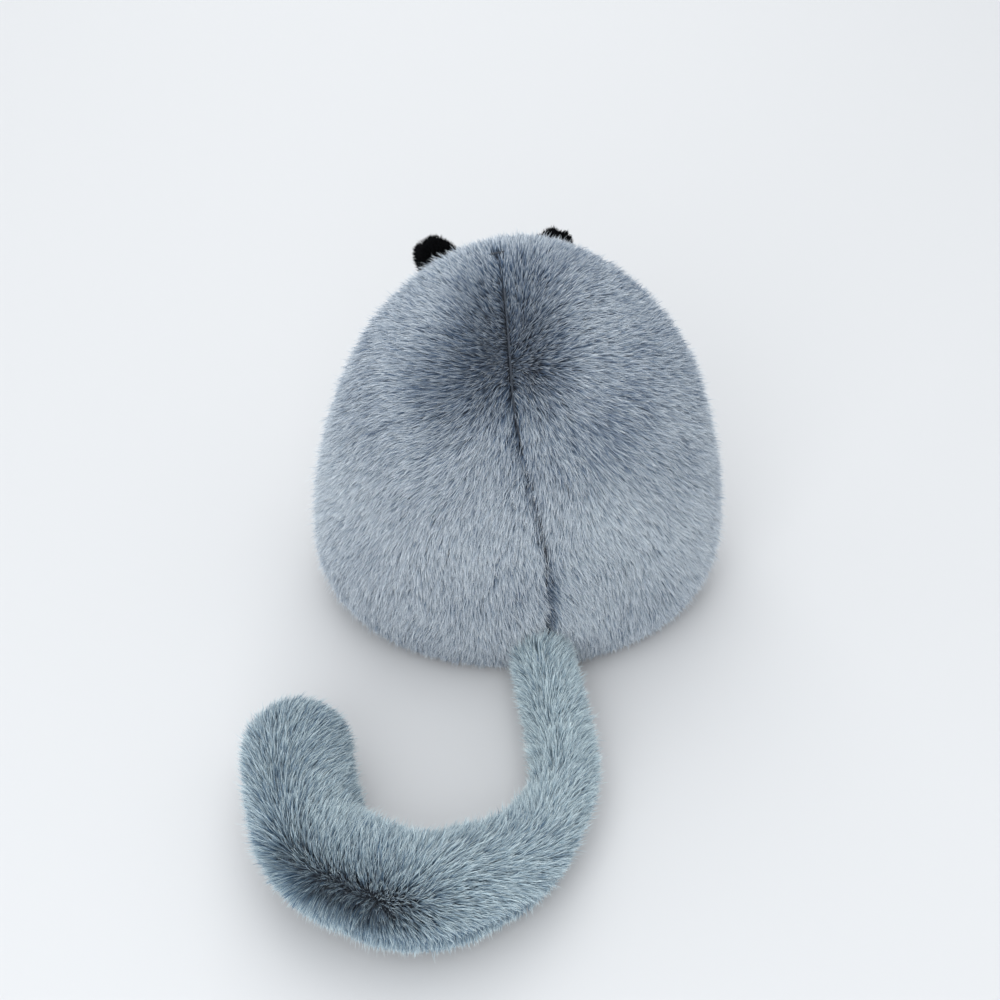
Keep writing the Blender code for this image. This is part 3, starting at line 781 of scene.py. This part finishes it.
def ear_frame(side):
    """The frame of an ear: X along its foot, Y backward, Z up the ear."""
    x = EAR_CENTRE + side * EAR_SPACING / 2
    reach = EAR_WIDTH / 2
    feet = [Vector((x + k * reach, 0, crown_height(x + k * reach, -EAR_FORWARD))) for k in (-1, 1)]
    along = (feet[1] - feet[0]).normalized()
    base = Vector((x, -EAR_FORWARD, crown_height(x, -EAR_FORWARD)))
    turn = Matrix((along, Vector((0, 1, 0)), along.cross(Vector((0, 1, 0))))).transposed().to_4x4()
    rise = Matrix.Translation((0, 0, EAR_LEFT_RISE if side > 0 else EAR_RIGHT_RISE))
    return Matrix.Translation(base) @ turn @ Matrix.Rotation(-EAR_LEAN_BACK, 4, "X") @ rise


def ear_point(frame_matrix, way, u, along, full):
    """Points of one ear face; u runs across it and along from its foot to its tip."""
    taper = np.maximum(1 - np.clip(along, 0, 1) ** 2.4, 0) ** 0.6
    half = (EAR_TIP_WIDTH + (EAR_WIDTH - EAR_TIP_WIDTH) * taper) / 2
    swell = 0.0010 + (EAR_THICKNESS - 0.0014) * (1 - u * u) * (1 - np.clip(along, 0, 1) ** 2)
    cup = 0.0015 * u * u
    local = np.stack([half * u, way * full * swell - cup, along * EAR_LENGTH], -1)
    matrix = np.array(frame_matrix)
    return local @ matrix[:3, :3].T + matrix[:3, 3]


def ears(pile_look, backing_look, random):
    """Both faces of both ears: a thin backing each, and its short black pile."""
    for name, side in (("left", 1), ("right", -1)):
        matrix = ear_frame(side)
        alongs = np.linspace(-0.10, 1.0, 16)
        across = np.linspace(-1, 1, 17)
        for face, way in (("back", 1), ("front", -1)):
            grids = []
            for full in (1.0, 0.05):
                rows = [ear_point(matrix, way, across, np.full(17, a), full) for a in alongs]
                grids.append([list(row) for row in rows])
            shell = grid_solid(f"ear_{name}_{face}_backing", grids[0], grids[1], backing_look)
            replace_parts(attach(shell, f"ear_{name}"), f"ear_{name}_{face}")

            def surface(u, along):
                """The backing's outer surface."""
                return ear_point(matrix, way, u, along, 1.0)

            ranges = ((-0.99, 0.99), (0.0, 0.99))
            roots, normals, u, along = scatter(surface, ranges, EAR_STRANDS, random)
            axes = np.array(matrix)[:3, :3]
            normals = np.where((normals @ axes[:, 1] * way)[:, None] < 0, -normals, normals)
            outward = u[:, None] * axes[:, 0] + (0.15 + along)[:, None] * axes[:, 2]
            nap = unit(unit(onto(outward, normals)) + 0.25 * random.normal(size=(len(roots), 3)))
            length = EAR_PILE_LENGTH * np.clip(1 + 0.2 * random.normal(size=len(roots)), 0.4, 1.6)
            rim = np.clip(np.hypot(u, along), 0, 1)
            lifts = [EAR_UPRIGHT - lean * rim for lean in EAR_LEANS]
            lines = grow(
                roots, normals, nap, length, lifts, random, clump=(0.0014, 0.4), spread=0.4, seed=71
            )
            width = np.full(len(roots), STRAND_WIDTH * 0.75)
            tints = 0.5 + 0.2 * random.normal(size=len(roots))
            made = strand_mesh(
                f"ear_{name}_{face}_pile", lines, normals, width, tints, pile_look, random
            )
            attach(made, f"ear_{name}")


# ---------------------------------------------------------------- face and base


BUTTON_PROFILE = (
    (0.0, 1.0), (0.2, 0.985), (0.4, 0.93), (0.6, 0.82), (0.78, 0.64),
    (0.9, 0.44), (0.97, 0.24), (1.0, 0.05), (0.97, -0.12), (0.85, -0.20),
)


def button(name, place, width, tall, bulge, look, point=0.0):
    """A moulded face part with a rounded rim; point draws its lower edge to a tip."""
    sides = 48
    rings = []
    for reach, rise in BUTTON_PROFILE:
        if reach == 0:
            rings.append([place @ Vector((0, 0, bulge * rise))])
            continue
        ring = []
        for k in range(sides):
            a = 2 * math.pi * k / sides
            lower = max(-math.sin(a), 0)
            x = reach * width / 2 * math.cos(a) * (1 - point * lower)
            y = reach * tall / 2 * math.sin(a)
            ring.append(place @ Vector((x, y, bulge * rise)))
        rings.append(ring)
    made = turned(name + "_moulded", rings, look)
    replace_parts(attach(made, "body"), name)


def eyes_and_nose(looks):
    """The two eyes and the nose."""
    for name, side in (("eye_left", 1), ("eye_right", -1)):
        place = front_place(side * EYE_SPACING / 2, EYE_HEIGHT, 0.0004)
        button(name, place, 2 * EYE_RADIUS, 2 * EYE_RADIUS, EYE_BULGE, looks["eye"])
    place = front_place(0.0, NOSE_HEIGHT, 0.0004)
    button("nose", place, NOSE_WIDTH, NOSE_TALL, NOSE_BULGE, looks["nose"], 0.45)


def paint_cad(looks):
    """Finishes for the CAD pieces that stay as they are."""
    finish = {
        "base_panel": "base", "stuffing_body": "fill", "pellet_bag": "bag",
        "eye_left_washer": "washer", "eye_right_washer": "washer", "nose_washer": "washer",
        "back_seam_thread": "thread", "side_seam_thread": "thread",
        "mouth_left": "thread", "mouth_right": "thread",
    }
    for node, look in finish.items():
        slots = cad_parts[node].data.materials
        slots.clear()
        slots.append(looks[look])


# ---------------------------------------------------------------- studio


def paper_floor():
    """A wide sheet of paper that lies under the cat and curves up into a wall behind it."""
    profile = [(FLOOR_FRONT, 0.0), (FLOOR_BACK + FLOOR_CURVE, 0.0)]
    for k in range(1, FLOOR_CURVE_STEPS + 1):
        a = math.pi / 2 * k / FLOOR_CURVE_STEPS
        y = FLOOR_BACK + FLOOR_CURVE * (1 - math.sin(a))
        profile.append((y, FLOOR_CURVE * (1 - math.cos(a))))
    profile.append((FLOOR_BACK, FLOOR_TOP))
    work = bmesh.new()
    columns = []
    for x in (-FLOOR_HALF_WIDTH, FLOOR_HALF_WIDTH):
        columns.append([work.verts.new((x, y, z)) for y, z in profile])
    for k in range(len(profile) - 1):
        work.faces.new([columns[0][k], columns[0][k + 1], columns[1][k + 1], columns[1][k]])
    data = bpy.data.meshes.new("floor")
    work.to_mesh(data)
    work.free()
    data.polygons.foreach_set("use_smooth", [True] * len(data.polygons))
    made, _, shader = new_material("paper")
    shader.inputs["Base Color"].default_value = (*FLOOR_COLOR, 1)
    shader.inputs["Roughness"].default_value = 0.9
    shader.inputs["Specular IOR Level"].default_value = 0.1
    data.materials.append(made)
    floor = bpy.data.objects.new("floor", data)
    bpy.context.scene.collection.objects.link(floor)


def lamp(name, place, aim, size, power, color):
    """A square softbox at place, turned toward aim."""
    light = bpy.data.lights.new(name, "AREA")
    light.energy = power
    light.size = size
    light.color = color
    holder = bpy.data.objects.new(name, light)
    holder.location = place
    holder.rotation_euler = (Vector(aim) - Vector(place)).to_track_quat("-Z", "Y").to_euler()
    bpy.context.scene.collection.objects.link(holder)


def studio():
    """The floor, three softboxes and a pale even sky."""
    paper_floor()
    lamp("top_softbox", (0.05, 0.20, 1.6), (0, 0.05, 0), 1.6, 8.0, (1.0, 1.0, 1.0))
    lamp("low_softbox", (0.55, 1.65, 0.95), (0, 0.05, 0.08), 1.6, 24.0, (0.98, 0.99, 1.0))
    lamp("back_softbox", (0.0, -1.50, 1.4), (0, -1.00, 0), 1.8, 16.0, (1.0, 1.0, 1.0))
    world = bpy.data.worlds.new("studio")
    world.use_nodes = True
    background = world.node_tree.nodes["Background"]
    background.inputs["Color"].default_value = (*SKY_COLOR, 1)
    background.inputs["Strength"].default_value = SKY_STRENGTH
    bpy.context.scene.world = world
    bpy.context.scene.view_settings.view_transform = "Standard"
    bpy.context.scene.view_settings.look = "None"


def camera():
    """The photo's camera: above and behind the cat, a little to its left."""
    level = Vector((math.sin(CAMERA_AZIMUTH), math.cos(CAMERA_AZIMUTH), 0))
    back = level * math.cos(CAMERA_ELEVATION) + Vector((0, 0, math.sin(CAMERA_ELEVATION)))
    forward = -back
    right = forward.cross(Vector((0, 0, 1))).normalized()
    up = right.cross(forward)
    aim = (forward - CAMERA_AIM_LEFT * right - CAMERA_AIM_DOWN * up).normalized()
    data = bpy.data.cameras.new("camera")
    data.sensor_width = CAMERA_SENSOR
    data.lens = CAMERA_LENS
    data.clip_start, data.clip_end = 0.02, 50
    made = bpy.data.objects.new("camera", data)
    made.location = Vector(CAMERA_TARGET) + CAMERA_DISTANCE * back
    made.rotation_euler = aim.to_track_quat("-Z", "Y").to_euler()
    bpy.context.scene.collection.objects.link(made)
    bpy.context.scene.camera = made


# ---------------------------------------------------------------- the whole scene


def make_looks():
    """Every material; each pile has one ramp from root to tip for dark hairs and one for light."""
    pile = pile_material(
        "long_pile",
        ((0.0, (0.008, 0.020, 0.046)), (0.45, (0.040, 0.080, 0.150)), (1.0, (0.11, 0.18, 0.29))),
        ((0.0, (0.022, 0.040, 0.074)), (0.45, (0.29, 0.37, 0.46)), (1.0, (0.93, 0.98, 1.0))),
        0.60, 0.35, 0.20,
    )
    tail_pile = pile_material(
        "tail_long_pile",
        ((0.0, (0.007, 0.022, 0.046)), (0.45, (0.036, 0.084, 0.150)), (1.0, (0.10, 0.19, 0.29))),
        ((0.0, (0.020, 0.043, 0.074)), (0.45, (0.26, 0.38, 0.46)), (1.0, (0.88, 1.0, 1.0))),
        0.60, 0.35, 0.20,
    )
    black_pile = pile_material(
        "ear_pile",
        ((0.0, (0.001, 0.001, 0.001)), (1.0, (0.004, 0.004, 0.005))),
        ((0.0, (0.002, 0.002, 0.002)), (1.0, (0.012, 0.013, 0.015))),
        0.9, 0.05, 0.0,
    )
    looks = {"pile": pile, "tail_pile": tail_pile, "black_pile": black_pile}
    for look, name, low, high, scale, roughness in (
        ("backing", "backing", (0.030, 0.040, 0.055), (0.050, 0.065, 0.085), 240, 0.95),
        ("ear_backing", "ear_backing", (0.002, 0.002, 0.002), (0.004, 0.004, 0.005), 240, 0.95),
        ("base", "base_cloth", (0.14, 0.18, 0.225), (0.17, 0.21, 0.26), 160, 0.95),
        ("fill", "fibrefill", (0.70, 0.70, 0.67), (0.80, 0.80, 0.78), 60, 0.95),
        ("bag", "bag_cloth", (0.55, 0.53, 0.49), (0.64, 0.62, 0.58), 200, 0.9),
        ("thread", "thread", (0.035, 0.045, 0.060), (0.060, 0.072, 0.090), 900, 0.8),
        ("eye", "eye_plastic", (0.006, 0.006, 0.007), (0.010, 0.010, 0.011), 50, 0.08),
        ("washer", "washer_plastic", (0.66, 0.66, 0.64), (0.72, 0.72, 0.70), 50, 0.5),
        ("nose", "nose_plastic", (0.36, 0.15, 0.15), (0.44, 0.20, 0.20), 120, 0.4),
    ):
        looks[look] = mottled_material(name, low, high, scale, roughness)
    return looks


def main():
    """Builds the backing, the pile, the ears and the face over the frame, and the studio."""
    random = np.random.default_rng(7)
    looks = make_looks()
    body_backing(looks["backing"])
    body_pile(looks["pile"], random)
    tail_parts(looks["tail_pile"], looks["backing"], random)
    ears(looks["black_pile"], looks["ear_backing"], random)
    eyes_and_nose(looks)
    paint_cad(looks)
    studio()
    camera()


main()
